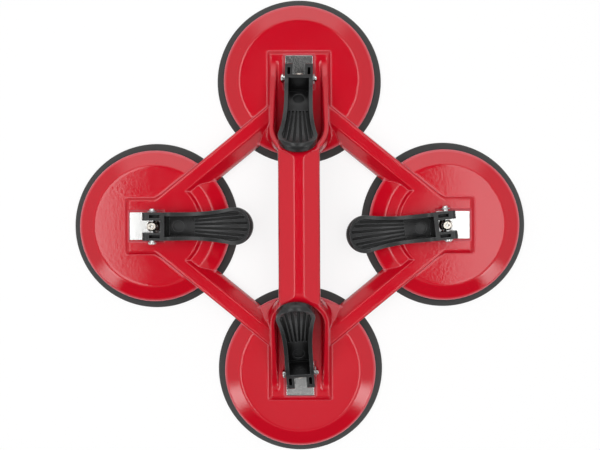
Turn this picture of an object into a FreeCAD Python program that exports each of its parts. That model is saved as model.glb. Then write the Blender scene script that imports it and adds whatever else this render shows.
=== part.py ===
import FreeCAD, Part
import math
import os
import re

import Sketcher

os.makedirs("parts", exist_ok=True)
doc = FreeCAD.newDocument("suction_lifter")
sheet = doc.addObject("Spreadsheet::Sheet", "dims")
Vector = FreeCAD.Vector
Rotation = FreeCAD.Rotation
Placement = FreeCAD.Placement

# Driving sizes in millimetres and degrees
sizes = {
    # layout: lifter centre to each cup centre
    "cup_offset": 102.7,
    # rubber pad
    "pad_radius": 59.0,
    "rim_height": 9.5,
    "seal_width": 12.0,
    "pad_edge": 2.0,
    "pad_shelf": 5.0,
    "pad_bead_slope": 2.5,
    "pad_bead_foot": 5.1,
    "pad_web": 3.0,
    # bell of the casting over each pad
    "pad_show": 5.4,
    "bell_lip": 4.5,
    "bell_slope_run": 10.7,
    "bell_top": 19.5,
    "bell_wall": 3.5,
    "bell_edge_radius": 5.0,
    "lip_edge": 1.0,
    # raised platform that carries the wear plate
    "platform_rise": 2.9,
    "platform_reach": 18.0,
    "platform_width": 36.2,
    "platform_run": 2.0,
    "platform_end_run": 2.7,
    "platform_round": 33.0,
    "platform_spread": 7.0,
    "platform_corner": 2.0,
    "platform_edge_radius": 1.0,
    # struts between neighbouring cups
    "strut_angle": 39.3,
    "strut_top_width": 9.0,
    "strut_slope_run": 6.9,
    "strut_slope_drop": 8.2,
    "strut_draft": 1.4,
    "strut_bottom": 10.0,
    "strut_wall": 3.4,
    "strut_bury": 3.2,
    "strut_edge_radius": 1.3,
    "strut_knee_radius": 2.5,
    # lever pockets at both ends of the handle
    "pocket_wall": 4.75,
    "pocket_outer_draft": 1.0,
    "pocket_outer_centre": 35.8,
    "pocket_side_room": 6.0,
    "pocket_inner_draft": 2.3,
    "pocket_inner_centre": 34.0,
    "rim_start": 8.3,
    "rim_blend_radius": 24.0,
    "crest_blend_radius": 9.0,
    "crest_set_back": 1.6,
    "rim_edge_radius": 1.0,
    # handle bar
    "handle_top": 71.8,
    "handle_bottom": 48.0,
    "handle_width": 28.2,
    "handle_flat": 6.4,
    "handle_shoulder_drop": 3.4,
    "handle_side_depth": 3.0,
    "handle_side_run": 0.75,
    "handle_foot_width": 25.0,
    "handle_wall": 4.0,
    "handle_edge_radius": 2.2,
    "handle_flat_edge_radius": 1.5,
    "bar_bury": 2.0,
    # how far a cutting tool runs on past the casting
    "overcut": 20.0,
    # steel wear plate
    "plate_thick": 1.5,
    "plate_outer": 17.0,
    "plate_inner": 6.6,
    "plate_clearance": 1.0,
    "plate_corner": 0.8,
    "plate_side_gap": 1.2,
    "plate_end_gap": 0.5,
    "plate_proud": 0.1,
    # stud that pulls the pad
    "stud_diameter": 7.0,
    "stud_crown": 3.3,
    "stud_chamfer": 0.9,
    "stud_screw_diameter": 6.0,
    "bore_clearance": 0.8,
    "recess_span": 3.8,
    "recess_blade": 0.9,
    "recess_depth": 1.5,
    # steel insert bonded on the pad
    "insert_radius": 20.0,
    "insert_thick": 2.2,
    "boss_wall": 3.5,
    "boss_room": 3.0,
    "thread_clearance": 0.05,
    "thread_floor": 1.0,
    # lever with cam, fork and ribbed grip
    "lever_width": 19.5,
    "lever_reach": 70.7,
    "lever_top": 10.2,
    "grip_radius": 13.2,
    "flare_angle": 12.0,
    "fork_clearance": 0.7,
    "window_clearance": 3.1,
    "fork_back": 6.0,
    "fork_corner_radius": 2.5,
    "cam_lift": 3.6,
    "cam_gap": 0.2,
    "cam_nose_angle": 40.0,
    "neck_start": 9.5,
    "neck_radius": 12.0,
    "neck_turn": 27.0,
    "tip_rise": 6.4,
    "tip_set_back": 2.5,
    "tip_radius": 4.45,
    "tip_middle": 2.4,
    "tip_under": -0.9,
    "scoop_radius": 62.6,
    "belly_start": 14.0,
    "belly_depth": 5.6,
    "belly_radius": 150.0,
    "belly_edge_radius": 2.2,
    "recess_start": 9.4,
    "recess_border": 2.6,
    "tip_lip": 0.3,
    "trench_length": 2.4,
    "trench_floor": -1.9,
    "floor_start": -1.2,
    "floor_bend": 24.0,
    "floor_bend_depth": -2.0,
    "floor_end_rise": 8.0,
    "floor_radius": 97.0,
    "groove_start": 29.5,
    "groove_depth": 0.8,
    "groove_end_depth": 2.6,
    "groove_pitch": 2.4,
    "groove_turn": 30.0,
    "groove_width_start": 1.4,
    "groove_width_end": 2.1,
    "groove_margin": 0.6,
    "cheek_slot_start": -1.0,
    "cheek_slot_length": 7.4,
    "cheek_slot_width": 2.2,
    "cheek_slot_floor": 3.4,
    "mark_centre": 18.2,
    "mark_diameter": 8.0,
    "mark_depth": 0.5,
    # clevis pin and its clip
    "pin_diameter": 4.0,
    "pin_clearance": 0.05,
    "pin_head_lip": 1.2,
    "pin_head_thick": 1.6,
    "pin_play": 1.5,
    "pin_tail": 1.6,
    "pin_chamfer": 0.5,
    "clip_thick": 0.7,
    "clip_lip": 1.5,
    "clip_groove": 0.5,
    "clip_fit": 0.04,
    "clip_opening": 38.0,
    # how the levers stand in the photo
    "lever_lean": 3.1,
    "left_skew": 0.0,
    "right_skew": 6.1,
    "back_skew": -1.0,
    "front_skew": 3.6,
}
for row, (alias, number) in enumerate(sizes.items(), start=1):
    sheet.set(f"A{row}", alias)
    sheet.set(f"B{row}", str(number))
    sheet.setAlias(f"B{row}", alias)
doc.recompute()

# Derived heights, widths and angles, written as expressions of the sheet
bell_radius = "(pad_radius - pad_show)"
bell_top_radius = f"({bell_radius} - bell_slope_run)"
seal_inner = "(pad_radius - seal_width)"
platform_top = "(bell_top + platform_rise)"
plate_top = f"({platform_top} + plate_proud)"
ceiling = "(bell_top - bell_wall)"
lip_top = "(rim_height + bell_lip)"
cam_rate = "(cam_lift * 2 / pi)"
strut_knee = f"({platform_top} - strut_slope_drop)"
pocket_floor_width = "(lever_width + pocket_side_room * 2)"
pocket_base_width = f"({pocket_floor_width} + pocket_wall * 2)"
crest = f"(pocket_outer_centre + {pocket_base_width} / 2 - crest_set_back)"
stud_bore = "(stud_diameter / 2 + bore_clearance)"
plate_hole = "(stud_diameter / 2 + plate_clearance)"
fork_gap = "(stud_diameter + fork_clearance * 2)"
fork_window = "(stud_diameter / 2 + window_clearance)"
pin_bore = "(pin_diameter / 2 + pin_clearance)"
clip_neck = "(pin_diameter / 2 - clip_groove)"
boss_top = f"({ceiling} - boss_room - cam_lift - pad_web)"

# The side levers lie flat and the handle levers lean on the rim of their pockets
side_tilt = "0"
rim_slope = f"(atan((handle_top - {platform_top}) / ({crest} + rim_start)) / 1 deg)"
handle_tilt = f"({rim_slope} + lever_lean)"

# Each cup: which way its lever points, how it stands, which side the pin head is on,
# and how much of the pin's play lies under the head
cups = [
    {"name": "left", "facing": 0, "tilt": side_tilt, "head_side": -1, "head_play": 0.85},
    {"name": "right", "facing": 180, "tilt": side_tilt, "head_side": 1, "head_play": 0.10},
    {"name": "back", "facing": 270, "tilt": handle_tilt, "head_side": -1, "head_play": 0.80},
    {"name": "front", "facing": 90, "tilt": handle_tilt, "head_side": 1, "head_play": 0.55},
]

# How closely an edge must lie at a named place, and along a named direction, to be picked,
# and the upright share of the normals that tell a wall from the rim on it
near = 1e-3
parallel = 0.999
wall_most = 0.2
rim_least = 0.3


def bound(text):
    def prefixed(match):
        word = match.group(0)
        return "dims." + word if word in sizes else word

    return re.sub(r"[a-z][a-z_]*", prefixed, text)


def size(text):
    return float(sheet.evalExpression(text))


def cam_height(angle):
    return f"(fork_back + cam_lift * (90 - {angle}) / 90)"


def pad_raise(cup):
    return f"(cam_lift * (90 - {cup['tilt']}) / 90)"


def pin_height(cup):
    return f"({plate_top} + cam_gap + {cam_height(cup['tilt'])})"


def insert_base(cup):
    return f"({pad_raise(cup)} + pad_web)"


def skew(cup):
    return f"{cup['name']}_skew"


def cup_place(cup, height="0", turn="0", tilt="0"):
    angle = math.radians(cup["facing"])
    reach = size("cup_offset")
    base = Vector(-reach * math.cos(angle), -reach * math.sin(angle), size(height))
    upright = Rotation(Vector(0, 0, 1), cup["facing"] + size(turn))
    return Placement(base, upright * Rotation(Vector(0, 1, 0), -size(tilt)))


# Sketches: a closed path of steps, each a corner with the edge that leaves it
def draw_path(sketch, steps):
    corners = [Vector(size(step[0]), size(step[1]), 0) for step in steps]
    count = len(steps)
    edges = []
    for index, step in enumerate(steps):
        first, last = corners[index], corners[(index + 1) % count]
        if len(step) == 2:
            number = sketch.addGeometry(Part.LineSegment(first, last), False)
            edges.append((number, 1, 2))
            continue
        radius = size(step[2])
        left_turn = step[3] == "left"
        chord = last - first
        half = chord.Length / 2
        normal = Vector(-chord.y, chord.x, 0).normalize()
        lift = math.sqrt(max(radius * radius - half * half, 0))
        centre = (first + last) / 2 + normal * (lift if left_turn else -lift)
        begin, end = (first, last) if left_turn else (last, first)
        angles = [math.atan2(point.y - centre.y, point.x - centre.x) for point in (begin, end)]
        circle = Part.Circle(centre, Vector(0, 0, 1), radius)
        number = sketch.addGeometry(Part.ArcOfCircle(circle, angles[0], angles[1]), False)
        edges.append((number, 1, 2) if left_turn else (number, 2, 1))
        limit = sketch.addConstraint(Sketcher.Constraint("Radius", number, radius))
        bind_limit(sketch, limit, f"radius_{number}", step[2])
    for index, (number, start, end) in enumerate(edges):
        following = edges[(index + 1) % count]
        sketch.addConstraint(Sketcher.Constraint("Coincident", number, end, following[0], following[1]))
        for axis, text in zip("XY", steps[index]):
            limit = Sketcher.Constraint("Distance" + axis, -1, 1, number, start, size(text))
            bind_limit(sketch, sketch.addConstraint(limit), f"{axis.lower()}_{number}", text)
    return sketch


def bind_limit(sketch, limit, name, text):
    sketch.renameConstraint(limit, name)
    if re.search(r"[a-z]", text):
        sketch.setExpression("Constraints." + name, bound(text))


def draw_circle(sketch, across, along, radius):
    centre = Vector(size(across), size(along), 0)
    number = sketch.addGeometry(Part.Circle(centre, Vector(0, 0, 1), size(radius)), False)
    limits = (
        ("radius", Sketcher.Constraint("Radius", number, size(radius)), radius),
        ("across", Sketcher.Constraint("DistanceX", -1, 1, number, 3, size(across)), across),
        ("along", Sketcher.Constraint("DistanceY", -1, 1, number, 3, size(along)), along),
    )
    for name, limit, text in limits:
        bind_limit(sketch, sketch.addConstraint(limit), f"{name}_{number}", text)
    return sketch


# Sketch planes for free-standing profiles: plan view, side view, and any other placement
plan_view = Placement()
side_view = Placement(Vector(), Rotation(Vector(1, 0, 0), 90))


def free_sketch(name, place, *paths):
    sketch = doc.addObject("Sketcher::SketchObject", name)
    sketch.Placement = place
    for path in paths:
        draw_path(sketch, path)
    return sketch


def raise_sketch(name, height, path):
    sketch = free_sketch(name, plan_view, path)
    sketch.setExpression("Placement.Base.z", bound(height))
    return sketch


def extrude(name, sketch, length, symmetric=False):
    solid = doc.addObject("Part::Extrusion", name)
    solid.Base = sketch
    solid.DirMode = "Normal"
    solid.Solid = True
    solid.Symmetric = symmetric
    solid.setExpression("LengthFwd", bound(length))
    return solid


def revolve(name, sketch):
    solid = doc.addObject("Part::Revolution", name)
    solid.Source = sketch
    solid.Base = Vector()
    solid.Axis = Vector(0, 0, 1)
    solid.Angle = 360
    solid.Solid = True
    return solid


def loft(name, sketches):
    solid = doc.addObject("Part::Loft", name)
    solid.Sections = sketches
    solid.Solid = True
    solid.Ruled = True
    return solid


def join(name, solids):
    result = doc.addObject("Part::MultiFuse", name)
    result.Shapes = solids
    result.Refine = True
    return result


def cut(name, base, tool):
    result = doc.addObject("Part::Cut", name)
    result.Base = base
    result.Tool = tool
    result.Refine = True
    return result


def common(name, solids):
    result = doc.addObject("Part::MultiCommon", name)
    result.Shapes = solids
    return result


def mirror(name, source, normal):
    result = doc.addObject("Part::Mirroring", name)
    result.Source = source
    result.Base = Vector()
    result.Normal = normal
    return result


def round_edges(name, base, picks):
    doc.recompute()
    result = doc.addObject("Part::Fillet", name)
    result.Base = base
    chosen = []
    for index, edge in enumerate(base.Shape.Edges, start=1):
        for test, radius in picks:
            if test(edge):
                chosen.append((index, size(radius), size(radius)))
                break
    result.Edges = chosen
    return result


def edge_middle(edge):
    return edge.valueAt((edge.FirstParameter + edge.LastParameter) / 2)


def circle_at(radius, height):
    def test(edge):
        if not isinstance(edge.Curve, Part.Circle):
            return False
        same_size = abs(edge.Curve.Radius - size(radius)) < near
        return same_size and abs(edge.Curve.Center.z - size(height)) < near
    return test


def long_edge_at(across, height, direction, base):
    def test(edge):
        if not isinstance(edge.Curve, (Part.Line, Part.LineSegment)):
            return False
        point = edge_middle(edge)
        along_edge = abs(edge.tangentAt(edge.FirstParameter).dot(direction)) > parallel
        sideways = (point - base).dot(Vector(direction.y, -direction.x, 0))
        return along_edge and abs(sideways - size(across)) < near and abs(point.z - size(height)) < near
    return test


def level_edge_at(height, side):
    def test(edge):
        point = edge_middle(edge)
        level = all(abs(vertex.Z - size(height)) < near for vertex in edge.Vertexes)
        return level and abs(point.y) > size(side) - near
    return test


def rim_edge_of(base):
    def test(edge):
        point = edge_middle(edge)
        faces = base.Shape.ancestorsOfType(edge, Part.Face)
        upright = [abs(face.normalAt(*face.Surface.parameter(point)).z) for face in faces]
        at_rim = min(upright) < wall_most and max(upright) > rim_least
        return at_rim and point.z > size(platform_top) - near
    return test


# Frame casting: four bells
bell_sketch = free_sketch("bell_profile", side_view, [
    ("0", "rim_height"),
    (bell_radius, "rim_height"),
    (bell_radius, f"{lip_top} - lip_edge"),
    (f"{bell_radius} - lip_edge", lip_top),
    (bell_top_radius, "bell_top"),
    ("0", "bell_top"),
])
bell_blank = revolve("bell_blank", bell_sketch)
cavity_sketch = free_sketch("bell_hollow_profile", side_view, [
    ("0", "0"),
    (f"{bell_radius} - bell_wall", "0"),
    (f"{bell_radius} - bell_wall", f"{lip_top} - bell_wall / 2"),
    (f"{bell_top_radius} - bell_wall / 2", ceiling),
    ("0", ceiling),
])
stud_bore_sketch = draw_circle(free_sketch("stud_bore_profile", plan_view), "0", "0", stud_bore)
slot_sketch = raise_sketch("plate_slot_profile", f"{plate_top} - plate_thick", [
    ("-plate_outer - plate_end_gap", "-lever_width / 2 - plate_side_gap"),
    ("plate_inner + plate_end_gap", "-lever_width / 2 - plate_side_gap"),
    ("plate_inner + plate_end_gap", "lever_width / 2 + plate_side_gap"),
    ("-plate_outer - plate_end_gap", "lever_width / 2 + plate_side_gap"),
])
bells = []
hollows = []
for cup in cups:
    bell = round_edges(f"{cup['name']}_bell", bell_blank, [
        (circle_at(bell_top_radius, "bell_top"), "bell_edge_radius"),
    ])
    hollow = revolve(f"{cup['name']}_bell_hollow", cavity_sketch)
    bore = extrude(f"{cup['name']}_stud_bore", stud_bore_sketch, f"{platform_top} * 2")
    slot = extrude(f"{cup['name']}_plate_slot", slot_sketch, "plate_thick * 3")
    for solid in (bell, hollow, bore, slot):
        solid.Placement = cup_place(cup)
    bells.append(bell)
    hollows += [hollow, bore, slot]


# Platforms of the two side cups, each narrowing towards its top
def platform_path(steps_down):
    side = f"(platform_width / 2 + platform_run * {steps_down})"
    reach = f"(platform_reach + platform_end_run * {steps_down})"
    round_end = f"(platform_round + platform_run * {steps_down})"
    corner = "(90 - strut_angle + platform_spread)"
    turn = "platform_corner"
    return [
        (f"-{reach}", f"{side} - {turn}", turn, "right"),
        (f"-{reach} + {turn}", side),
        ("0", side),
        (f"{round_end} * cos({corner})", f"{round_end} * sin({corner})", round_end, "right"),
        (round_end, "0", round_end, "right"),
        (f"{round_end} * cos({corner})", f"-{round_end} * sin({corner})"),
        ("0", f"-{side}"),
        (f"-{reach} + {turn}", f"-{side}", turn, "right"),
        (f"-{reach}", f"-{side} + {turn}"),
    ]


platform_foot = raise_sketch("platform_foot", "bell_top - platform_rise", platform_path(2))
platform_crown = raise_sketch("platform_crown", platform_top, platform_path(0))
platforms = []
for cup in cups[:2]:
    block = loft(f"{cup['name']}_platform_block", [platform_foot, platform_crown])
    rounded = round_edges(f"{cup['name']}_platform", block, [
        (level_edge_at(platform_top, "0"), "platform_edge_radius"),
    ])
    rounded.Placement = cup_place(cup)
    platforms.append(rounded)

# Struts: an open channel from each side cup to the handle pockets
strut_turn = math.radians(size("strut_angle"))
strut_run = Vector(math.cos(strut_turn), math.sin(strut_turn), 0)
strut_in = Vector(strut_run.y, -strut_run.x, 0)
strut_base = Vector(-size("cup_offset"), size("platform_width / 2"), 0)
strut_axes = Rotation(strut_in, Vector(0, 0, 1), -strut_run, "ZXY")
strut_view = Placement(strut_base, strut_axes)
strut_length = f"((cup_offset - {pocket_base_width} / 2 + strut_bury) / cos(strut_angle))"
strut_sketch = free_sketch("strut_profile", strut_view, [
    ("-strut_draft", "strut_bottom"),
    ("0", platform_top),
    ("strut_top_width", platform_top),
    ("strut_top_width + strut_slope_run", strut_knee),
    ("strut_top_width + strut_slope_run + strut_draft", "strut_bottom"),
])
strut_hollow_sketch = free_sketch("strut_hollow_profile", strut_view, [
    ("strut_wall - strut_draft", "strut_bottom - strut_wall"),
    ("strut_wall", f"{platform_top} - strut_wall"),
    ("strut_top_width - strut_wall / 2", f"{platform_top} - strut_wall"),
    ("strut_top_width + strut_slope_run - strut_wall", f"{strut_knee} - strut_wall / 4"),
    ("strut_top_width + strut_slope_run + strut_draft - strut_wall", "strut_bottom - strut_wall"),
])
strut_blank = extrude("strut_blank", strut_sketch, f"-{strut_length}")
knee_across = "strut_top_width + strut_slope_run"
strut_round = round_edges("strut_round", strut_blank, [
    (long_edge_at("0", platform_top, strut_run, strut_base), "strut_edge_radius"),
    (long_edge_at("strut_top_width", platform_top, strut_run, strut_base), "strut_edge_radius"),
    (long_edge_at(knee_across, strut_knee, strut_run, strut_base), "strut_knee_radius"),
])
strut_hollow = extrude("strut_hollow", strut_hollow_sketch, f"-{strut_length}")
strut = cut("left_back_strut", strut_round, strut_hollow)
right_strut = mirror("right_back_strut", strut, Vector(1, 0, 0))
struts = [
    strut,
    right_strut,
    mirror("left_front_strut", strut, Vector(0, 1, 0)),
    mirror("right_front_strut", right_strut, Vector(0, 1, 0)),
]


# Handle: two pockets that rise from the cups, joined by the bar
def pocket_path(half_width, centre, reach):
    return [
        (f"-{reach}", half_width),
        (centre, half_width, half_width, "right"),
        (f"{centre} + {half_width}", "0", half_width, "right"),
        (centre, f"-{half_width}"),
        (f"-{reach}", f"-{half_width}"),
    ]


def pocket_outer(height):
    return f"({pocket_base_width} / 2 - ({height} - {platform_top}) * tan(pocket_outer_draft))"


def pocket_inner(height):
    return f"({pocket_floor_width} / 2 + ({height} - {platform_top}) * tan(pocket_inner_draft))"


far_end = "(platform_reach + platform_end_run * 2)"
clear_top = "(handle_top + overcut)"
outer_foot = raise_sketch("pocket_outer_foot", "strut_bottom",
                          pocket_path(pocket_outer("strut_bottom"), "pocket_outer_centre", far_end))
outer_crown = raise_sketch("pocket_outer_crown", "handle_top",
                           pocket_path(pocket_outer("handle_top"), "pocket_outer_centre", far_end))
inner_foot = raise_sketch("pocket_floor", platform_top,
                          pocket_path(pocket_inner(platform_top), "pocket_inner_centre", bell_radius))
inner_crown = raise_sketch("pocket_mouth", clear_top,
                           pocket_path(pocket_inner(clear_top), "pocket_inner_centre", bell_radius))
base_foot = raise_sketch("pocket_base_foot", "bell_top - platform_rise", pocket_path(
    f"({pocket_base_width} / 2 + platform_run * 2)", "(pocket_outer_centre - platform_run * 2)", far_end))
base_crown = raise_sketch("pocket_base_crown", platform_top,
                          pocket_path(f"({pocket_base_width} / 2)", "pocket_outer_centre", far_end))
rim_sketch = free_sketch("rim_profile", side_view, [
    ("-platform_reach - platform_end_run * 2", "bell_top - platform_rise"),
    ("-platform_reach", platform_top),
    ("-rim_start", platform_top),
    (crest, "handle_top"),
    ("cup_offset", "handle_top"),
    ("cup_offset", clear_top),
    ("-platform_reach - platform_end_run * 2", clear_top),
])
rim_blank = extrude("rim_blank", rim_sketch, f"{pocket_base_width} * 2", symmetric=True)


def cross_edge_at(across, height):
    def test(edge):
        point = edge_middle(edge)
        offset = point - Vector(size(across), 0, size(height))
        return offset.Length < near
    return test


bar_sketch = free_sketch("bar_profile", side_view, [
    ("-handle_flat / 2", "handle_top"),
    ("handle_flat / 2", "handle_top"),
    ("handle_width / 2 - handle_side_run", "handle_top - handle_shoulder_drop"),
    ("handle_width / 2", "handle_top - handle_shoulder_drop - handle_side_depth"),
    ("handle_foot_width / 2", "handle_bottom"),
    ("-handle_foot_width / 2", "handle_bottom"),
    ("-handle_width / 2", "handle_top - handle_shoulder_drop - handle_side_depth"),
    ("-handle_width / 2 + handle_side_run", "handle_top - handle_shoulder_drop"),
])
bar_reach = "(cup_offset - pocket_outer_centre + bar_bury)"
bar_blank = extrude("bar_blank", bar_sketch, f"{bar_reach} * 2", symmetric=True)


def bar_edge_at(across, height):
    def test(edge):
        point = edge_middle(edge)
        lengthwise = abs(edge.tangentAt(edge.FirstParameter).y) > parallel
        return lengthwise and abs(abs(point.x) - size(across)) < near and abs(point.z - size(height)) < near
    return test


shoulder = ("handle_width / 2 - handle_side_run", "handle_top - handle_shoulder_drop")
bar = round_edges("bar_round", bar_blank, [
    (bar_edge_at("handle_flat / 2", "handle_top"), "handle_flat_edge_radius"),
    (bar_edge_at(*shoulder), "handle_edge_radius"),
    (bar_edge_at("handle_foot_width / 2", "handle_bottom"), "handle_edge_radius"),
])
bar_hollow_sketch = free_sketch("bar_hollow_profile", side_view, [
    ("-handle_flat / 2", "handle_top - handle_wall"),
    ("handle_flat / 2", "handle_top - handle_wall"),
    ("handle_width / 2 - handle_wall", "handle_top - handle_shoulder_drop - handle_wall"),
    ("handle_foot_width / 2 - handle_wall", "handle_bottom - handle_wall"),
    ("-handle_foot_width / 2 + handle_wall", "handle_bottom - handle_wall"),
    ("-handle_width / 2 + handle_wall", "handle_top - handle_shoulder_drop - handle_wall"),
])
bar_inside = f"(cup_offset - pocket_outer_centre - {pocket_outer('handle_bottom')} - handle_wall)"
bar_hollow = extrude("bar_hollow", bar_hollow_sketch, f"{bar_inside} * 2", symmetric=True)

rim_rounding = [
    (cross_edge_at("-platform_reach", platform_top), "platform_edge_radius"),
    (cross_edge_at("-rim_start", platform_top), "rim_blend_radius"),
    (cross_edge_at(crest, "handle_top"), "crest_blend_radius"),
]


def pocket_tools(cup, use):
    inside = loft(f"{cup['name']}_{use}_inside", [inner_foot, inner_crown])
    above = round_edges(f"{cup['name']}_{use}_above", rim_blank, rim_rounding)
    return inside, above


pockets = []
bar_tools = [bar_hollow]
for cup in cups[2:]:
    inside, above = pocket_tools(cup, "pocket")
    block = loft(f"{cup['name']}_pocket_block", [outer_foot, outer_crown])
    wall = cut(f"{cup['name']}_pocket_wall", cut(f"{cup['name']}_pocket_ramp", block, above), inside)
    pocket = round_edges(f"{cup['name']}_pocket", wall, [(rim_edge_of(wall), "rim_edge_radius")])
    base_block = loft(f"{cup['name']}_base_block", [base_foot, base_crown])
    base = cut(f"{cup['name']}_pocket_base", base_block, above)
    foot = round_edges(f"{cup['name']}_pocket_foot", base, [
        (level_edge_at(platform_top, f"{pocket_base_width} / 2"), "platform_edge_radius"),
    ])
    notch = pocket_tools(cup, "bar")
    for solid in (pocket, foot, *notch):
        solid.Placement = cup_place(cup)
    pockets += [pocket, foot]
    bar_tools += notch
handle_bar = cut("handle_bar", bar, join("bar_openings", bar_tools))
handle = join("handle", pockets + [handle_bar])

casting_blank = join("casting_blank", bells + platforms + struts + [handle])
casting_openings = join("casting_openings", hollows)
frame_casting = cut("frame_casting", casting_blank, casting_openings)
frame_casting.Label = "frame_casting"


# Bodies made from sketches on their own origin planes
def new_body(name):
    body = doc.addObject("PartDesign::Body", name)
    body.Label = name
    return body


def body_sketch(body, name, plane, *paths):
    sketch = body.newObject("Sketcher::SketchObject", f"{body.Name}_{name}")
    support = next(item for item in body.Origin.OriginFeatures if item.Role == plane)
    sketch.AttachmentSupport = (support, [""])
    sketch.MapMode = "FlatFace"
    for path in paths:
        draw_path(sketch, path)
    return sketch


def turn_body(body, path):
    sketch = body_sketch(body, "profile", "XZ_Plane", path)
    turned = body.newObject("PartDesign::Revolution", f"{body.Name}_turned")
    turned.Profile = sketch
    turned.ReferenceAxis = (sketch, ["V_Axis"])
    turned.Angle = 360
    return turned


def pad_body(body, sketch, length, midplane=False):
    solid = body.newObject("PartDesign::Pad", f"{body.Name}_pad")
    solid.Profile = sketch
    solid.Midplane = midplane
    solid.setExpression("Length", bound(length))
    return solid


def pocket_body(body, name, sketch, length, midplane=False, reversed_cut=False):
    opening = body.newObject("PartDesign::Pocket", f"{body.Name}_{name}")
    opening.Profile = sketch
    opening.Midplane = midplane
    opening.Reversed = reversed_cut
    opening.setExpression("Length", bound(length))
    return opening


def rubber_pad(cup):
    body = new_body(f"{cup['name']}_suction_pad")
    raised = pad_raise(cup)
    shelf_inner = f"({bell_radius} - bell_wall - pad_shelf / 2)"
    web_edge = "(insert_radius + pad_edge)"
    turn_body(body, [
        ("0", raised),
        (web_edge, raised),
        (seal_inner, "0"),
        ("pad_radius - pad_edge", "0"),
        ("pad_radius", "pad_edge"),
        (f"{bell_radius} + lip_edge / 2", "rim_height"),
        (shelf_inner, "rim_height"),
        (f"{shelf_inner} - pad_bead_slope", "pad_bead_foot"),
        (web_edge, f"{raised} + pad_web"),
        ("0", f"{raised} + pad_web"),
    ])
    body.Placement = cup_place(cup)
    return body


def pad_insert(cup):
    body = new_body(f"{cup['name']}_pad_insert")
    bore = "(stud_screw_diameter / 2 + thread_clearance)"
    boss_radius = "(stud_screw_diameter / 2 + boss_wall)"
    turn_body(body, [
        ("0", "0"),
        ("insert_radius", "0"),
        ("insert_radius", "insert_thick"),
        (boss_radius, "insert_thick"),
        (boss_radius, boss_top),
        (bore, boss_top),
        (bore, "thread_floor"),
        ("0", "thread_floor"),
    ])
    body.Placement = cup_place(cup, insert_base(cup))
    return body


def pull_stud(cup):
    body = new_body(f"{cup['name']}_pull_stud")
    low = f"({insert_base(cup)} + thread_floor + thread_clearance - {pin_height(cup)})"
    shoulder = f"({insert_base(cup)} + {boss_top} + cam_gap - {pin_height(cup)})"
    turn_body(body, [
        ("0", low),
        ("stud_screw_diameter / 2", low),
        ("stud_screw_diameter / 2", shoulder),
        ("stud_diameter / 2", shoulder),
        ("stud_diameter / 2", "stud_crown - stud_chamfer"),
        ("stud_diameter / 2 - stud_chamfer", "stud_crown"),
        ("0", "stud_crown"),
    ])
    cross_bore = body_sketch(body, "cross_bore", "XZ_Plane")
    draw_circle(cross_bore, "0", "0", pin_bore)
    pocket_body(body, "pin_bore", cross_bore, "stud_diameter * 2", midplane=True)
    blade = "recess_blade / 2"
    span = "recess_span / 2"
    recess = body_sketch(body, "driver_cross", "XY_Plane", [
        (blade, blade), (blade, span), (f"-{blade}", span), (f"-{blade}", blade),
        (f"-{span}", blade), (f"-{span}", f"-{blade}"), (f"-{blade}", f"-{blade}"),
        (f"-{blade}", f"-{span}"), (blade, f"-{span}"), (blade, f"-{blade}"),
        (span, f"-{blade}"), (span, blade),
    ])
    recess.setExpression("AttachmentOffset.Base.z", bound("stud_crown - recess_depth"))
    pocket_body(body, "driver_recess", recess, "stud_crown", reversed_cut=True)
    body.Placement = cup_place(cup, pin_height(cup), skew(cup))
    return body


def wear_plate(cup):
    body = new_body(f"{cup['name']}_wear_plate")
    side = "lever_width / 2"
    corner = "plate_corner"
    sketch = body_sketch(body, "outline", "XY_Plane", [
        (f"-plate_outer + {corner}", f"-{side}"),
        (f"plate_inner - {corner}", f"-{side}", corner, "left"),
        ("plate_inner", f"-{side} + {corner}"),
        ("plate_inner", f"{side} - {corner}", corner, "left"),
        (f"plate_inner - {corner}", side),
        (f"-plate_outer + {corner}", side, corner, "left"),
        ("-plate_outer", f"{side} - {corner}"),
        ("-plate_outer", f"-{side} + {corner}", corner, "left"),
    ])
    draw_circle(sketch, "0", "0", plate_hole)
    pad_body(body, sketch, "plate_thick")
    body.Placement = cup_place(cup, f"{plate_top} - plate_thick")
    return body


def lever_pin(cup):
    body = new_body(f"{cup['name']}_lever_pin")
    head_radius = "(pin_diameter / 2 + pin_head_lip)"
    clip_start = "(lever_width + pin_play)"
    end = f"({clip_start} + clip_thick + clip_fit * 2 + pin_tail)"
    neck_end = f"({clip_start} + clip_thick + clip_fit * 2)"
    turn_body(body, [
        ("0", "-pin_head_thick"),
        (f"{head_radius} - pin_chamfer", "-pin_head_thick"),
        (head_radius, "-pin_head_thick + pin_chamfer"),
        (head_radius, "0"),
        ("pin_diameter / 2", "0"),
        ("pin_diameter / 2", clip_start),
        (clip_neck, clip_start),
        (clip_neck, neck_end),
        ("pin_diameter / 2", neck_end),
        ("pin_diameter / 2", f"{end} - pin_chamfer"),
        ("pin_diameter / 2 - pin_chamfer", end),
        ("0", end),
    ])
    body.Placement = across_lever(cup, "0")
    return body


def across_lever(cup, along):
    head = cup["head_side"]
    under_head = size("lever_width / 2") + cup["head_play"] * size("pin_play") - size(along)
    on_lever = cup_place(cup, pin_height(cup), skew(cup), cup["tilt"])
    lay_down = Rotation(Vector(1, 0, 0), 90 * head)
    return on_lever * Placement(Vector(0, head * under_head, 0), lay_down)


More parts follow.
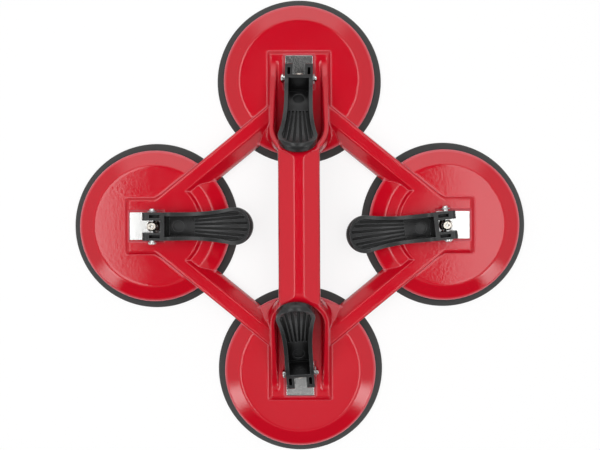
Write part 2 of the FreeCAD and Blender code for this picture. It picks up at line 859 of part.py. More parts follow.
def pin_clip(cup):
    body = new_body(f"{cup['name']}_pin_clip")
    outside = "(pin_diameter / 2 + clip_lip)"
    inside = f"({clip_neck} + clip_fit)"
    open_end = "clip_opening"

    def ring_point(radius, angle):
        return f"{radius} * cos({angle})", f"{radius} * sin({angle})"

    sketch = body_sketch(body, "outline", "XY_Plane", [
        (*ring_point(outside, open_end), outside, "left"),
        (f"-{outside}", "0", outside, "left"),
        ring_point(outside, f"-{open_end}"),
        (*ring_point(inside, f"-{open_end}"), inside, "right"),
        (f"-{inside}", "0", inside, "right"),
        ring_point(inside, open_end),
    ])
    pad_body(body, sketch, "clip_thick")
    body.Placement = across_lever(cup, "lever_width + pin_play + clip_fit")
    return body


def cam_point(angle):
    height = cam_height(angle)
    across = f"-{height} * sin({angle}) + {cam_rate} * cos({angle})"
    down = f"-{height} * cos({angle}) - {cam_rate} * sin({angle})"
    return across, down


def lever_outline(border, lip):
    radius = f"(grip_radius - {border})"
    half = f"(lever_width / 2 - {border})"
    centre = f"(lever_reach - grip_radius - {lip})"
    flare = "((grip_radius * cos(flare_angle) - lever_width / 2) / (1 - cos(flare_angle)))"
    flare_end = f"({centre} - {radius} * sin(flare_angle))"
    flare_start = f"({centre} - grip_radius * sin(flare_angle) - {flare} * sin(flare_angle))"
    flare_radius = f"({flare} + {border} / cos(flare_angle))"
    return radius, half, centre, flare_start, flare_end, flare_radius


def lever_plan(border, lip, start):
    radius, half, centre, flare_start, flare_end, flare_radius = lever_outline(border, lip)
    side = f"{radius} * cos(flare_angle)"
    return [
        (start, half),
        (flare_start, half, flare_radius, "left"),
        (flare_end, side, radius, "right"),
        (f"{centre} + {radius}", "0", radius, "right"),
        (flare_end, f"-{side}", flare_radius, "left"),
        (flare_start, f"-{half}"),
        (start, f"-{half}"),
    ]


# Grip grooves in pairs on both sides of the middle rib
groove_rows = (-2.5, -1.5, -0.5, 0.5, 1.5, 2.5)


def groove_strip(number):
    start_mid = f"groove_pitch * {number}"
    centre = "(lever_reach - grip_radius - tip_lip)"
    round_end = "(grip_radius - recess_border - groove_margin - groove_width_end / 2)"
    end_mid = f"{round_end} * sin(groove_turn * {number})"
    end = f"{centre} + {round_end} * cos(groove_turn * {number})"
    head = "groove_width_end / 2"
    return [
        ("groove_start", f"{start_mid} + groove_width_start / 2"),
        (end, f"{end_mid} + {head}", head, "right"),
        (f"{end} + {head}", end_mid, head, "right"),
        (end, f"{end_mid} - {head}"),
        ("groove_start", f"{start_mid} - groove_width_start / 2"),
    ]


def box(name, corner, extents):
    solid = doc.addObject("Part::Box", name)
    for prop, text in zip(("Length", "Width", "Height"), extents):
        solid.setExpression(prop, bound(text))
    for axis, text in zip("xyz", corner):
        solid.setExpression(f"Placement.Base.{axis}", bound(text))
    return solid


def cylinder(name, radius, height, place):
    solid = doc.addObject("Part::Cylinder", name)
    solid.setExpression("Radius", bound(radius))
    solid.setExpression("Height", bound(height))
    solid.Placement = place
    return solid


def belly_edge_of(base):
    def test(edge):
        point = edge_middle(edge)
        faces = base.Shape.ancestorsOfType(edge, Part.Face)
        radii = [getattr(face.Surface, "Radius", 0) for face in faces]
        on_belly = any(abs(radius - size("belly_radius")) < near for radius in radii)
        return on_belly and point.x > size("belly_start") + near
    return test


def tip_dome(name):
    corner = free_sketch(f"{name}_dome_profile", side_view, [
        ("grip_radius", "tip_middle", "tip_radius", "left"),
        ("grip_radius - tip_set_back", "tip_rise"),
        ("grip_radius - tip_set_back", "lever_top * 2"),
        ("grip_radius * 2", "lever_top * 2"),
        ("grip_radius * 2", "tip_middle"),
    ])
    dome = revolve(f"{name}_dome", corner)
    dome.Angle = 180
    dome.Symmetric = True
    dome.Placement = Placement(Vector(size("lever_reach - grip_radius"), 0, 0), Rotation())
    return dome


def cam_lever(cup):
    name = f"{cup['name']}_lever"
    nose = "cam_nose_angle"
    closed_height = cam_height("0")
    neck_end = ("neck_start + neck_radius * sin(neck_turn)", "lever_top - neck_radius * (1 - cos(neck_turn))")
    side = free_sketch(f"{name}_side", side_view, [
        (*cam_point("0"), cam_height("15"), "right"),
        (*cam_point("30"), cam_height("45"), "right"),
        (*cam_point("60"), cam_height("75"), "right"),
        cam_point("90"),
        ("-fork_back", "lever_top - fork_corner_radius", "fork_corner_radius", "right"),
        ("-fork_back + fork_corner_radius", "lever_top"),
        ("neck_start", "lever_top", "neck_radius", "right"),
        (*neck_end, "scoop_radius", "left"),
        ("lever_reach - tip_set_back", "tip_rise", "tip_radius", "right"),
        ("lever_reach", "tip_middle"),
        ("lever_reach", "tip_under", "belly_radius", "right"),
        ("belly_start", "-belly_depth"),
        (f"{cam_rate} + {closed_height} * sin({nose})", f"-{closed_height} * cos({nose})",
         closed_height, "right"),
    ])
    plan = free_sketch(f"{name}_plan", plan_view, lever_plan("0", "0", "-lever_width"))
    plan.setExpression("Placement.Base.z", bound("-lever_reach / 2"))
    square_blank = common(f"{name}_square_blank", [
        extrude(f"{name}_slab", side, "grip_radius * 3", symmetric=True),
        extrude(f"{name}_column", plan, "lever_reach"),
    ])
    blank = round_edges(f"{name}_blank", square_blank, [(belly_edge_of(square_blank), "belly_edge_radius")])
    floor_end = "lever_reach - recess_border + tip_radius"
    floor = free_sketch(f"{name}_floor", side_view, [
        ("recess_start", "trench_floor"),
        ("recess_start + trench_length", "trench_floor"),
        ("recess_start + trench_length", "floor_start"),
        ("floor_bend", "floor_bend_depth", "floor_radius", "left"),
        (floor_end, "floor_end_rise"),
        (floor_end, "lever_top * 2"),
        ("recess_start", "lever_top * 2"),
    ])
    hollow_path = lever_plan("recess_border", "tip_lip", "recess_start")
    hollow_plan = free_sketch(f"{name}_hollow_plan", plan_view, hollow_path)
    hollow_plan.setExpression("Placement.Base.z", bound("-lever_reach / 2"))
    hollow = common(f"{name}_hollow", [
        extrude(f"{name}_hollow_slab", floor, "grip_radius * 3", symmetric=True),
        extrude(f"{name}_hollow_column", hollow_plan, "lever_reach"),
    ])
    groove_floor = free_sketch(f"{name}_groove_floor", side_view, [
        ("floor_bend", "floor_bend_depth - groove_depth", "floor_radius", "left"),
        (floor_end, "floor_end_rise - groove_end_depth"),
        (floor_end, "lever_top * 2"),
        ("floor_bend", "lever_top * 2"),
    ])
    fan = free_sketch(f"{name}_fan", plan_view, *[groove_strip(number) for number in groove_rows])
    fan.setExpression("Placement.Base.z", bound("-lever_reach / 2"))
    grooves = common(f"{name}_grooves", [
        extrude(f"{name}_groove_slab", groove_floor, "grip_radius * 3", symmetric=True),
        extrude(f"{name}_groove_column", fan, "lever_reach"),
    ])
    fork = box(f"{name}_fork", ("-lever_width", f"-{fork_gap} / 2", "-lever_reach / 2"),
               (f"lever_width + {fork_window}", fork_gap, "lever_reach"))
    openings = [hollow, grooves, fork]
    middle = f"({fork_gap} + lever_width) / 4"
    for label, centre in (("near", f"-{middle}"), ("far", middle)):
        openings.append(box(f"{name}_{label}_slot",
                            ("cheek_slot_start", f"{centre} - cheek_slot_width / 2", "cheek_slot_floor"),
                            ("cheek_slot_length", "cheek_slot_width", "lever_top")))
    bore_place = Placement(Vector(0, size("lever_width"), 0), Rotation(Vector(1, 0, 0), 90))
    openings.append(cylinder(f"{name}_bore", pin_bore, "lever_width * 2", bore_place))
    slope_start = "(recess_start + trench_length)"
    slope = f"((floor_bend_depth - floor_start) / (floor_bend - {slope_start}))"
    mark_floor = f"floor_start + {slope} * (mark_centre - {slope_start}) - mark_depth"
    mark_place = Placement(Vector(size("mark_centre"), 0, size(mark_floor)), Rotation())
    openings.append(cylinder(f"{name}_mark", "mark_diameter / 2", "lever_top", mark_place))
    openings.append(tip_dome(name))
    lever = cut(name, blank, join(f"{name}_openings", openings))
    lever.Label = name
    lever.Placement = cup_place(cup, pin_height(cup), skew(cup), cup["tilt"])
    return lever


nodes = [frame_casting]
makers = (rubber_pad, pad_insert, pull_stud, wear_plate, cam_lever, lever_pin, pin_clip)
for cup in cups:
    for maker in makers:
        nodes.append(maker(cup))
doc.recompute()

# Nothing is written unless every feature is sound
faulty = [item.Label for item in doc.Objects if {"Invalid", "Error"} & set(item.State)]
for node in nodes:
    if node.Shape.isNull() or not node.Shape.isValid() or not node.Shape.Solids:
        faulty.append(node.Label)
if faulty:
    raise RuntimeError("unsound: " + ", ".join(faulty))
for node in nodes:
    node.Shape.exportStep(f"parts/{node.Label}.step")
print("nodes", len(nodes), "solids", [len(node.Shape.Solids) for node in nodes])
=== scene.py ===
import math

import bmesh
import bpy
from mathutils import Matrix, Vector
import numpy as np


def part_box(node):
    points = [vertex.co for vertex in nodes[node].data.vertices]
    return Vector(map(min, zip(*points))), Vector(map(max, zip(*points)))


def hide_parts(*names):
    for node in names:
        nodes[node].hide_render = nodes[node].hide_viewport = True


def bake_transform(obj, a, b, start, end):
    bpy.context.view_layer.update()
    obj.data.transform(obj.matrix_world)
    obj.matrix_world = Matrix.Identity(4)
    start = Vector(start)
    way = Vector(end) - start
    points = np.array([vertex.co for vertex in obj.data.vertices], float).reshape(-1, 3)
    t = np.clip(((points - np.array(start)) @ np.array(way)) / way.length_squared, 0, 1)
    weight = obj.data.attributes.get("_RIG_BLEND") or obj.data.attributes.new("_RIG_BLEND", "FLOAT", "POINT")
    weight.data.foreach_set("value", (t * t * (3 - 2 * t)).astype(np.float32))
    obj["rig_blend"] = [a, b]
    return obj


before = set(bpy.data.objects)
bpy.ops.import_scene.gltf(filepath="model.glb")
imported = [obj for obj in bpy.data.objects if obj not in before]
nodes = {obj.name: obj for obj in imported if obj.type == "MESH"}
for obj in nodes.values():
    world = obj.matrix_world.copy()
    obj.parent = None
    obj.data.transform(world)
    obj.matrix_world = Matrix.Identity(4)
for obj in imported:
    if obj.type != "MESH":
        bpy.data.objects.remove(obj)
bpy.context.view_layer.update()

scene = bpy.context.scene
scene.view_settings.view_transform = "Standard"
millimetre = 0.001
white = (1.0, 1.0, 1.0, 1.0)
cupNames = ("left", "right", "back", "front")


# Shader building: a socket that does arithmetic and adds the next node
class Flow:
    def __init__(self, tree, socket=None):
        self.tree = tree
        self.socket = socket

    def add(self, kind, inputs=None, output=0, **settings):
        node = self.tree.nodes.new(kind)
        for name, value in settings.items():
            setattr(node, name, value)
        for name, value in (inputs or {}).items():
            target = node.inputs[name]
            if isinstance(value, Flow):
                self.tree.links.new(value.socket, target)
            else:
                target.default_value = value
        return Flow(self.tree, node.outputs[output] if node.outputs else None)

    def math(self, operation, first, second=0.0):
        return self.add("ShaderNodeMath", {0: first, 1: second}, operation=operation)

    def __add__(self, other):
        return self.math("ADD", self, other)

    __radd__ = __add__

    def __sub__(self, other):
        return self.math("SUBTRACT", self, other)

    def __rsub__(self, other):
        return self.math("SUBTRACT", other, self)

    def __mul__(self, other):
        return self.math("MULTIPLY", self, other)

    __rmul__ = __mul__

    def between(self, low, high, fromValue=0.0, toValue=1.0):
        limits = {0: self, 1: low, 2: high, 3: fromValue, 4: toValue}
        return self.add("ShaderNodeMapRange", limits, interpolation_type="SMOOTHSTEP")

    def tint(self, first, second):
        colours = {0: self, 6: first, 7: second}
        return self.add("ShaderNodeMix", colours, output=2, data_type="RGBA")

    def part(self, axis):
        return self.add("ShaderNodeSeparateXYZ", {"Vector": self}, output=axis)


# Shared by the finishes: detail of the noise, the middle of its range, rays for edges and hollows
coarseDetail = 1.0
plainDetail = 2.0
richDetail = 3.0
noiseRange = (0.3, 0.7)
edgeRays = 6
fineEdgeRays = 8
hollowRays = 8


def place(flow):
    return flow.add("ShaderNodeTexCoord", output="Object")


def grain(flow, perMetre, detail=plainDetail, stretch=(1.0, 1.0, 1.0), turn=0.0):
    layout = {"Vector": place(flow), "Scale": stretch, "Rotation": (0.0, 0.0, turn)}
    mapped = flow.add("ShaderNodeMapping", layout)
    return flow.add("ShaderNodeTexNoise", {"Vector": mapped, "Scale": perMetre, "Detail": detail})


def spots(flow, perMetre, low, high):
    cells = flow.add("ShaderNodeTexVoronoi", {"Vector": place(flow), "Scale": perMetre})
    return cells.between(high, low)


def vectorValue(flow, operation, first, second):
    vectors = {0: first, 1: second}
    return flow.add("ShaderNodeVectorMath", vectors, output="Value", operation=operation)


def softEdge(flow, radius, rays=edgeRays):
    return flow.add("ShaderNodeBevel", {"Radius": radius}, samples=rays)


def edgeShare(flow, rounded, low, high):
    face = flow.add("ShaderNodeNewGeometry", output="Normal")
    return (1.0 - vectorValue(flow, "DOT_PRODUCT", face, rounded)).between(low, high)


def exposure(flow, reach, low, high):
    openness = flow.add("ShaderNodeAmbientOcclusion", {"Distance": reach}, output="AO",
                        samples=hollowRays, only_local=True)
    return openness.between(low, high)


def relief(flow, height, distance, strength, normal):
    inputs = {"Height": height, "Distance": distance, "Strength": strength, "Normal": normal}
    return flow.add("ShaderNodeBump", inputs)


def newMaterial(name, constants, build):
    material = bpy.data.materials.new(name)
    material.use_nodes = True
    shader = next(node for node in material.node_tree.nodes if node.type == "BSDF_PRINCIPLED")
    for socket, value in constants.items():
        shader.inputs[socket].default_value = value
    for socket, flow in build(Flow(material.node_tree)).items():
        material.node_tree.links.new(flow.socket, shader.inputs[socket])
    return material


# Red coat of the casting: thick and glossy, with painted highlights on edges and on the bell lips, orange
# peel, specks and scratches.
# Patterns are given by how many fit in a metre.
redCoat = {
    "deep": (0.52, 0.002, 0.012, 1.0), "bright": (0.57, 0.004, 0.018, 1.0),
    "speck": (0.14, 0.01, 0.012, 1.0), "paintedHighlight": (0.84, 0.24, 0.29, 1.0), "clouds": 14.0,
    "edge": 2.0 * millimetre, "edgeRange": (0.02, 0.15), "edgeHighlightShown": 0.5, "lipHighlightShown": 0.4,
    "specks": 75.0, "speckRange": (0.018, 0.03), "speckShown": 0.8,
    "speckPatches": 30.0, "speckPatchRange": (0.58, 0.66),
    "scratches": 120.0, "scratchStretch": (1.0, 14.0, 1.0), "scratchTurn": 0.7,
    "scratchRange": (0.70, 0.74), "scratchShown": 0.35, "scratchRough": 0.2,
    "scratchPatches": 22.0, "scratchPatchRange": (0.60, 0.66),
    "peel": 540.0, "fine": 1400.0, "peelShare": 0.8, "fineShare": 0.2, "speckShare": 0.6,
    "reliefDepth": 0.065 * millimetre, "reliefStrength": 0.55,
    "glossPatches": 55.0, "roughness": (0.07, 0.12),
}
bellLip = {"radius": 53.6 * millimetre, "wide": 2.4 * millimetre, "top": 15.0 * millimetre,
           "fade": 1.0 * millimetre}


# Mask of the bell lips round each cup, where a pale pink highlight is painted into the coat
def lipHighlightShare(flow):
    flat = flow.add("ShaderNodeMapping", {"Vector": place(flow), "Scale": (1.0, 1.0, 0.0)})
    height = place(flow).part("Z")
    share = 0.0
    for cup in cupNames:
        low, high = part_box(f"{cup}_suction_pad")
        middle = ((low.x + high.x) / 2, (low.y + high.y) / 2, 0.0)
        away = vectorValue(flow, "DISTANCE", flat, middle)
        outer = away.between(bellLip["radius"] + bellLip["fade"], bellLip["radius"])
        share = away.between(bellLip["radius"] - bellLip["wide"], bellLip["radius"]) * outer + share
    return share * height.between(bellLip["top"] + bellLip["fade"], bellLip["top"])


def buildRedCoat(flow):
    rounded = softEdge(flow, redCoat["edge"], fineEdgeRays)
    cloud = grain(flow, redCoat["clouds"], richDetail)
    speckled = grain(flow, redCoat["speckPatches"]).between(*redCoat["speckPatchRange"])
    specks = spots(flow, redCoat["specks"], *redCoat["speckRange"]) * speckled
    scratched = grain(flow, redCoat["scratchPatches"]).between(*redCoat["scratchPatchRange"])
    streaks = grain(flow, redCoat["scratches"], richDetail,
                    redCoat["scratchStretch"], redCoat["scratchTurn"])
    scratch = streaks.between(*redCoat["scratchRange"]) * scratched
    colour = cloud.tint(redCoat["deep"], redCoat["bright"])
    # Painted highlight: convex edges and the bell lips are tinted pale pink in place of the gloss on their
    # rounding
    edgeHighlights = edgeShare(flow, rounded, *redCoat["edgeRange"]) * redCoat["edgeHighlightShown"]
    colour = (edgeHighlights + lipHighlightShare(flow) * redCoat["lipHighlightShown"]).tint(colour, redCoat["paintedHighlight"])
    marks = specks * redCoat["speckShown"] + scratch * redCoat["scratchShown"]
    colour = marks.tint(colour, redCoat["speck"])
    peel = grain(flow, redCoat["peel"], coarseDetail)
    fine = grain(flow, redCoat["fine"], plainDetail)
    height = peel * redCoat["peelShare"] + fine * redCoat["fineShare"] + specks * redCoat["speckShare"]
    normal = relief(flow, height, redCoat["reliefDepth"], redCoat["reliefStrength"], rounded)
    gloss = grain(flow, redCoat["glossPatches"], richDetail)
    roughness = gloss.between(*noiseRange, *redCoat["roughness"]) + scratch * redCoat["scratchRough"]
    return {"Base Color": colour, "Roughness": roughness, "Normal": normal}


redPaint = newMaterial("redPaint", {"IOR": 1.5}, buildRedCoat)

# Black plastic of the levers: satin, with a fine moulded grain, painted shade in grooves and recesses and
# painted highlights on rib crests and edges
plastic = {
    "dark": (0.002, 0.002, 0.002, 1.0), "pale": (0.008, 0.008, 0.0083, 1.0),
    "openLit": (0.022, 0.0225, 0.023, 1.0), "crestHighlightTone": (0.085, 0.088, 0.092, 1.0), "clouds": 60.0,
    "edge": 0.5 * millimetre, "edgeRange": (0.01, 0.10),
    "reach": 7.0 * millimetre, "reachRange": (0.70, 0.98),
    "grooveReach": 1.6 * millimetre, "grooveRange": (0.60, 0.92), "grooveRough": 0.3,
    "grain": 2400.0, "reliefDepth": 0.05 * millimetre, "reliefStrength": 0.35,
    "glossPatches": 90.0, "roughness": (0.20, 0.29),
}


def buildPlastic(flow):
    rounded = softEdge(flow, plastic["edge"], fineEdgeRays)
    colour = grain(flow, plastic["clouds"], richDetail).tint(plastic["dark"], plastic["pale"])
    # Painted shade: from ambient occlusion the colour is lighter where the lever is open, darker in recesses
    # and near black in the grooves
    inGroove = 1.0 - exposure(flow, plastic["grooveReach"], *plastic["grooveRange"])
    colour = exposure(flow, plastic["reach"], *plastic["reachRange"]).tint(colour, plastic["openLit"])
    # Painted highlight: rib crests and edges outside the grooves are tinted light grey
    crestHighlight = edgeShare(flow, rounded, *plastic["edgeRange"]) * (1.0 - inGroove)
    colour = crestHighlight.tint(colour, plastic["crestHighlightTone"])
    colour = inGroove.tint(colour, plastic["dark"])
    moulded = grain(flow, plastic["grain"], plainDetail)
    normal = relief(flow, moulded, plastic["reliefDepth"], plastic["reliefStrength"], rounded)
    gloss = grain(flow, plastic["glossPatches"], richDetail)
    roughness = gloss.between(*noiseRange, *plastic["roughness"]) + inGroove * plastic["grooveRough"]
    return {"Base Color": colour, "Roughness": roughness, "Normal": normal}


leverPlastic = newMaterial("leverPlastic", {"IOR": 1.49, "Specular IOR Level": 0.3}, buildPlastic)

# Rubber of the pads: matte, with patches of dust
rubber = {
    "dark": (0.020, 0.020, 0.020, 1.0), "dust": (0.044, 0.044, 0.043, 1.0),
    "dustPatches": 45.0, "dustDetail": 4.0, "dustRange": (0.35, 0.75), "edge": 0.6 * millimetre,
    "grain": 1500.0, "reliefDepth": 0.05 * millimetre, "reliefStrength": 0.4, "roughness": (0.55, 0.72),
}


def buildRubber(flow):
    dust = grain(flow, rubber["dustPatches"], rubber["dustDetail"]).between(*rubber["dustRange"])
    colour = dust.tint(rubber["dark"], rubber["dust"])
    moulded = grain(flow, rubber["grain"], richDetail)
    rounded = softEdge(flow, rubber["edge"])
    normal = relief(flow, moulded, rubber["reliefDepth"], rubber["reliefStrength"], rounded)
    roughness = dust.between(0.0, 1.0, *rubber["roughness"])
    return {"Base Color": colour, "Roughness": roughness, "Normal": normal}


padRubber = newMaterial("padRubber", {"IOR": 1.5, "Specular IOR Level": 0.3}, buildRubber)

# Steels: plates, studs, pins, clips and inserts differ in tone and in how they were finished
steelGrain = {"clouds": 120.0, "cloudShare": 0.2, "fineShare": 0.8, "reliefDepth": 0.06 * millimetre}


def steelMaterial(name, look):
    def build(flow):
        fine = grain(flow, look["grain"], richDetail)
        clouds = grain(flow, steelGrain["clouds"], richDetail)
        tone = clouds * steelGrain["cloudShare"] + fine * steelGrain["fineShare"]
        colour = tone.tint(look["deep"], look["pale"])
        rounded = softEdge(flow, look["edge"])
        normal = relief(flow, fine, steelGrain["reliefDepth"], look["relief"], rounded)
        roughness = fine.between(*noiseRange, *look["roughness"])
        return {"Base Color": colour, "Roughness": roughness, "Normal": normal}

    return newMaterial(name, {"Metallic": 1.0}, build)


plateSteel = steelMaterial("plateSteel", {
    "deep": (0.34, 0.34, 0.335, 1.0), "pale": (0.84, 0.84, 0.83, 1.0), "edge": 0.6 * millimetre,
    "grain": 1700.0, "roughness": (0.14, 0.22), "relief": 0.6})
studSteel = steelMaterial("studSteel", {
    "deep": (0.52, 0.47, 0.40, 1.0), "pale": (0.80, 0.76, 0.70, 1.0), "edge": 0.25 * millimetre,
    "grain": 900.0, "roughness": (0.18, 0.30), "relief": 0.1})
pinSteel = steelMaterial("pinSteel", {
    "deep": (0.50, 0.50, 0.50, 1.0), "pale": (0.80, 0.80, 0.79, 1.0), "edge": 0.25 * millimetre,
    "grain": 900.0, "roughness": (0.15, 0.28), "relief": 0.1})
clipSteel = steelMaterial("clipSteel", {
    "deep": (0.30, 0.30, 0.31, 1.0), "pale": (0.52, 0.52, 0.53, 1.0), "edge": 0.1 * millimetre,
    "grain": 900.0, "roughness": (0.25, 0.40), "relief": 0.1})
insertSteel = steelMaterial("insertSteel", {
    "deep": (0.36, 0.36, 0.35, 1.0), "pale": (0.58, 0.58, 0.57, 1.0), "edge": 0.25 * millimetre,
    "grain": 600.0, "roughness": (0.35, 0.50), "relief": 0.2})

finishes = {
    "frame_casting": redPaint, "lever": leverPlastic, "suction_pad": padRubber, "wear_plate": plateSteel,
    "pull_stud": studSteel, "lever_pin": pinSteel, "pin_clip": clipSteel, "pad_insert": insertSteel,
}
for name, node in nodes.items():
    kind = name if name in finishes else name.split("_", 1)[1]
    node.data.materials.clear()
    node.data.materials.append(finishes[kind])
print("materials", len(finishes))

# Rubber pads: the ring stays with the frame while the middle follows the pull stud
padForm = {
    "middle": 22.0 * millimetre, "middleSlack": 1.0 * millimetre, "sealInner": 47.0 * millimetre,
    "web": 3.0 * millimetre, "lip": 2.0 * millimetre, "shelfOut": 54.1 * millimetre,
    "shelfIn": 47.6 * millimetre, "beadFoot": 45.1 * millimetre, "beadLow": 5.1 * millimetre,
    "soft": 0.9 * millimetre, "softSteps": 4, "stride": 3.0 * millimetre, "around": 144,
    "weld": 0.001 * millimetre,
}


def padOutline(cup):
    low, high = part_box(f"{cup}_suction_pad")
    centre = (low + high) / 2
    reach = (high.x - low.x) / 2
    heights = [point.co.z for point in nodes[f"{cup}_suction_pad"].data.vertices
               if (point.co.xy - centre.xy).length < padForm["middle"] + padForm["middleSlack"]]
    raised = min(heights)
    webTop = raised + padForm["web"]
    soft = padForm["soft"]
    corners = [
        ((0.0, raised), 0.0), ((padForm["middle"], raised), soft), ((padForm["sealInner"], low.z), soft),
        ((reach - padForm["lip"], low.z), soft), ((reach, low.z + padForm["lip"]), soft),
        ((padForm["shelfOut"], high.z), soft), ((padForm["shelfIn"], high.z), soft),
        ((padForm["beadFoot"], padForm["beadLow"]), soft), ((padForm["middle"], webTop), soft),
        ((0.0, webTop), 0.0),
    ]
    return centre, [(Vector(point), radius) for point, radius in corners]


def softenOutline(corners, steps):
    outline = []
    for index, (point, radius) in enumerate(corners):
        if radius == 0.0:
            outline.append(point)
            continue
        fromPoint = point + (corners[index - 1][0] - point).normalized() * radius
        toPoint = point + (corners[index + 1][0] - point).normalized() * radius
        for step in range(steps + 1):
            share = step / steps
            outline.append(fromPoint.lerp(point, share).lerp(point.lerp(toPoint, share), share))
    return outline


def divideOutline(outline, stride):
    divided = [outline[0]]
    for point in outline[1:]:
        start = divided[-1]
        pieces = max(1, round((point - start).length / stride))
        divided += [start.lerp(point, step / pieces) for step in range(1, pieces + 1)]
    return divided


def makePad(cup):
    centre, corners = padOutline(cup)
    outline = divideOutline(softenOutline(corners, padForm["softSteps"]), padForm["stride"])
    form = bmesh.new()
    rings = []
    for step in range(padForm["around"]):
        turn = 2.0 * math.pi * step / padForm["around"]
        across = Vector((math.cos(turn), math.sin(turn)))
        ring = []
        for point in outline:
            x = centre.x + across.x * point.x
            y = centre.y + across.y * point.x
            ring.append(form.verts.new((x, y, point.y)))
        rings.append(ring)
    for ring, following in zip(rings, rings[1:] + rings[:1]):
        for index in range(len(outline) - 1):
            face = form.faces.new((ring[index], following[index], following[index + 1], ring[index + 1]))
            face.smooth = True
    bmesh.ops.remove_doubles(form, verts=form.verts, dist=padForm["weld"])
    bmesh.ops.recalc_face_normals(form, faces=form.faces)
    mesh = bpy.data.meshes.new(f"{cup}Pad")
    form.to_mesh(mesh)
    form.free()
    mesh.materials.append(padRubber)
    pad = bpy.data.objects.new(f"{cup}Pad", mesh)
    scene.collection.objects.link(pad)
    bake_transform(pad, "frame", f"{cup}_pull", centre + Vector((padForm["sealInner"], 0, 0)), centre)
    # The blend runs along one line, so its weights are set again by the distance from the middle
    follow = mesh.attributes["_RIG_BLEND"].data
    for point, weight in zip(mesh.vertices, follow):
        radius = (point.co.xy - centre.xy).length
        share = (padForm["sealInner"] - radius) / (padForm["sealInner"] - padForm["middle"])
        weight.value = min(1.0, max(0.0, share))
    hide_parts(f"{cup}_suction_pad")


for cup in cupNames:
    makePad(cup)
print("pads", len(cupNames))

# Camera straight overhead, its foot a little to the right of the middle and behind it, as in the photo
view = {"height": 0.952, "foot": Vector((0.007, 0.017)), "lens": 79.2, "roll": -0.25, "near": 0.01,
        "imageWide": 600, "middle": Vector((299.75, 224.93)), "frameMiddle": Vector((300.0, 225.0)),
        "padPlane": 0.002}
cameraData = bpy.data.cameras.new("camera")
cameraData.lens = view["lens"]
cameraData.clip_start = view["near"]
camera = bpy.data.objects.new("camera", cameraData)
camera.location = (view["foot"].x, view["foot"].y, view["height"])
camera.rotation_euler = (0.0, 0.0, math.radians(view["roll"]))
padDistance = view["height"] - view["padPlane"]
pixelsPerMetre = view["lens"] / cameraData.sensor_width * view["imageWide"] / padDistance
offCentre = view["middle"] - view["frameMiddle"]
cameraData.shift_x = (-view["foot"].x * pixelsPerMetre - offCentre.x) / view["imageWide"]
cameraData.shift_y = (-view["foot"].y * pixelsPerMetre + offCentre.y) / view["imageWide"]
scene.collection.objects.link(camera)
scene.camera = camera

# Stage: a pale floor, white to the camera apart from the shadow
floorLook = {"halfSide": 20.0, "drop": 0.0004, "tone": (0.95, 0.95, 0.95, 1.0), "shadowKept": 0.22}


def emptyTree(owner):
    owner.use_nodes = True
    owner.node_tree.nodes.clear()
    return Flow(owner.node_tree)


def makeFloor():
    half = floorLook["halfSide"]
    mesh = bpy.data.meshes.new("floor")
    corners = [(-half, -half), (half, -half), (half, half), (-half, half)]
    mesh.from_pydata([(x, y, -floorLook["drop"]) for x, y in corners], [], [(0, 1, 2, 3)])
    floor = bpy.data.objects.new("floor", mesh)
    scene.collection.objects.link(floor)
    material = bpy.data.materials.new("paleFloor")
    flow = emptyTree(material)
    matte = flow.add("ShaderNodeBsdfDiffuse", {"Color": floorLook["tone"]})
    glow = flow.add("ShaderNodeEmission", {"Color": white, "Strength": 1.0})
    seen = flow.add("ShaderNodeLightPath", output="Is Camera Ray")
    mirrored = flow.add("ShaderNodeLightPath", output="Is Glossy Ray")
    shown = (seen + mirrored) * (1.0 - floorLook["shadowKept"])
    surface = flow.add("ShaderNodeMixShader", {0: shown, 1: matte, 2: glow})
    flow.add("ShaderNodeOutputMaterial", {"Surface": surface})
    mesh.materials.append(material)


makeFloor()

# Soft boxes: where they hang, their sides and how bright they look. Those with no target face down.
# The fill lights pockets and gaps without showing in the gloss, and the low boxes show in the gloss alone.
softBoxes = {
    "leftTop": {"at": (-0.545, 0.0, 1.5), "size": (0.46, 1.5), "bright": 4.0, "fade": 0.2},
    "rightTop": {"at": (0.4725, 0.0, 1.5), "size": (0.495, 1.5), "bright": 3.4, "fade": 0.25},
    "frontTop": {"at": (0.0, -0.42, 1.5), "size": (0.40, 0.55), "bright": 0.45, "fade": 0.5},
    "fill": {"at": (0.0, 0.0, 2.2), "size": (1.0, 1.0), "bright": 7.0, "fade": 0.1,
             "unseenBy": "visible_glossy"},
    "frontLeft": {"at": (-0.505, -0.38, 0.31), "size": (0.29, 0.30), "bright": 5.4, "fade": 0.8,
                  "target": (-0.05, -0.03, 0.0), "unseenBy": "visible_diffuse"},
    "frontRight": {"at": (0.505, -0.38, 0.31), "size": (0.29, 0.30), "bright": 5.4, "fade": 0.8,
                   "target": (0.05, -0.03, 0.0), "unseenBy": "visible_diffuse"},
}


def fadeEdges(light, fade):
    flow = emptyTree(light)
    across = flow.add("ShaderNodeNewGeometry", output="Parametric")
    strength = 1.0
    for axis in ("X", "Y"):
        fromMiddle = flow.math("ABSOLUTE", across.part(axis) * 2.0 - 1.0)
        strength = fromMiddle.between(1.0, 1.0 - fade) * strength
    glow = flow.add("ShaderNodeEmission", {"Strength": strength})
    flow.add("ShaderNodeOutputLight", {"Surface": glow})


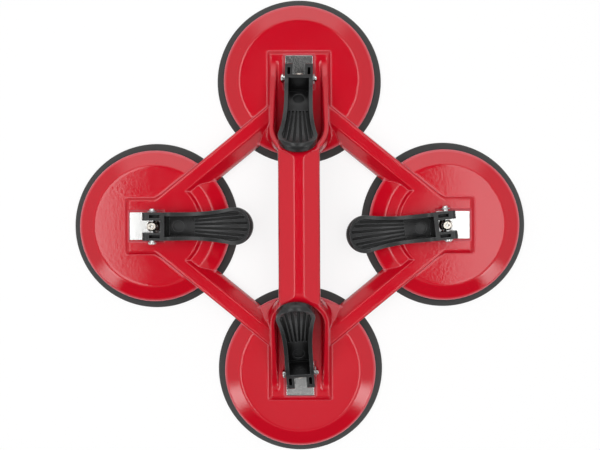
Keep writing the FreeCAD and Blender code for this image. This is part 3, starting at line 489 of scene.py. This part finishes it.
def hangBox(name, box):
    light = bpy.data.lights.new(name, "AREA")
    light.shape = "RECTANGLE"
    light.size, light.size_y = box["size"]
    light.energy = box["bright"] * math.pi * light.size * light.size_y
    fadeEdges(light, box["fade"])
    lamp = bpy.data.objects.new(name, light)
    lamp.location = box["at"]
    if "target" in box:
        aim = Vector(box["target"]) - Vector(box["at"])
        lamp.rotation_euler = aim.to_track_quat("-Z", "Y").to_euler()
    if "unseenBy" in box:
        setattr(lamp, box["unseenBy"], False)
    scene.collection.objects.link(lamp)


for name, box in softBoxes.items():
    hangBox(name, box)

# Room round the soft boxes: dark overhead and in front, lighter at sides and back, white to the camera.
# The ranges are parts of a direction: up, toward the back and to either side.
room = {
    "overhead": 0.05, "sides": 0.42, "mirroredSides": 0.48, "mirroredBack": 1.7, "loweredUp": (0.93, 0.84),
    "sidesUp": (-0.02, 0.10), "sidesBack": (-0.72, -0.52),
    "backUp": (0.10, 0.34), "backBack": (0.46, 0.72), "backSide": (0.68, 0.40),
}


def makeRoom():
    world = bpy.data.worlds.new("world")
    scene.world = world
    flow = emptyTree(world)
    direction = flow.add("ShaderNodeTexCoord", output="Generated")
    sideways = flow.math("ABSOLUTE", direction.part("X"))
    toBack = direction.part("Y")
    upward = direction.part("Z")
    lowered = upward.between(*room["loweredUp"])
    atSides = lowered * upward.between(*room["sidesUp"]) * toBack.between(*room["sidesBack"])
    atBack = lowered * upward.between(*room["backUp"]) * toBack.between(*room["backBack"])
    atBack = atBack * sideways.between(*room["backSide"])
    mirrored = flow.add("ShaderNodeLightPath", output="Is Glossy Ray")
    sideLight = atSides * (mirrored * room["mirroredSides"] + room["sides"])
    backLight = atBack * mirrored * room["mirroredBack"]
    dim = flow.add("ShaderNodeBackground", {"Strength": sideLight + backLight + room["overhead"]})
    bright = flow.add("ShaderNodeBackground", {"Color": white, "Strength": 1.0})
    seen = flow.add("ShaderNodeLightPath", output="Is Camera Ray")
    mixed = flow.add("ShaderNodeMixShader", {0: seen, 1: dim, 2: bright})
    flow.add("ShaderNodeOutputWorld", {"Surface": mixed})


makeRoom()
print("stage ready")
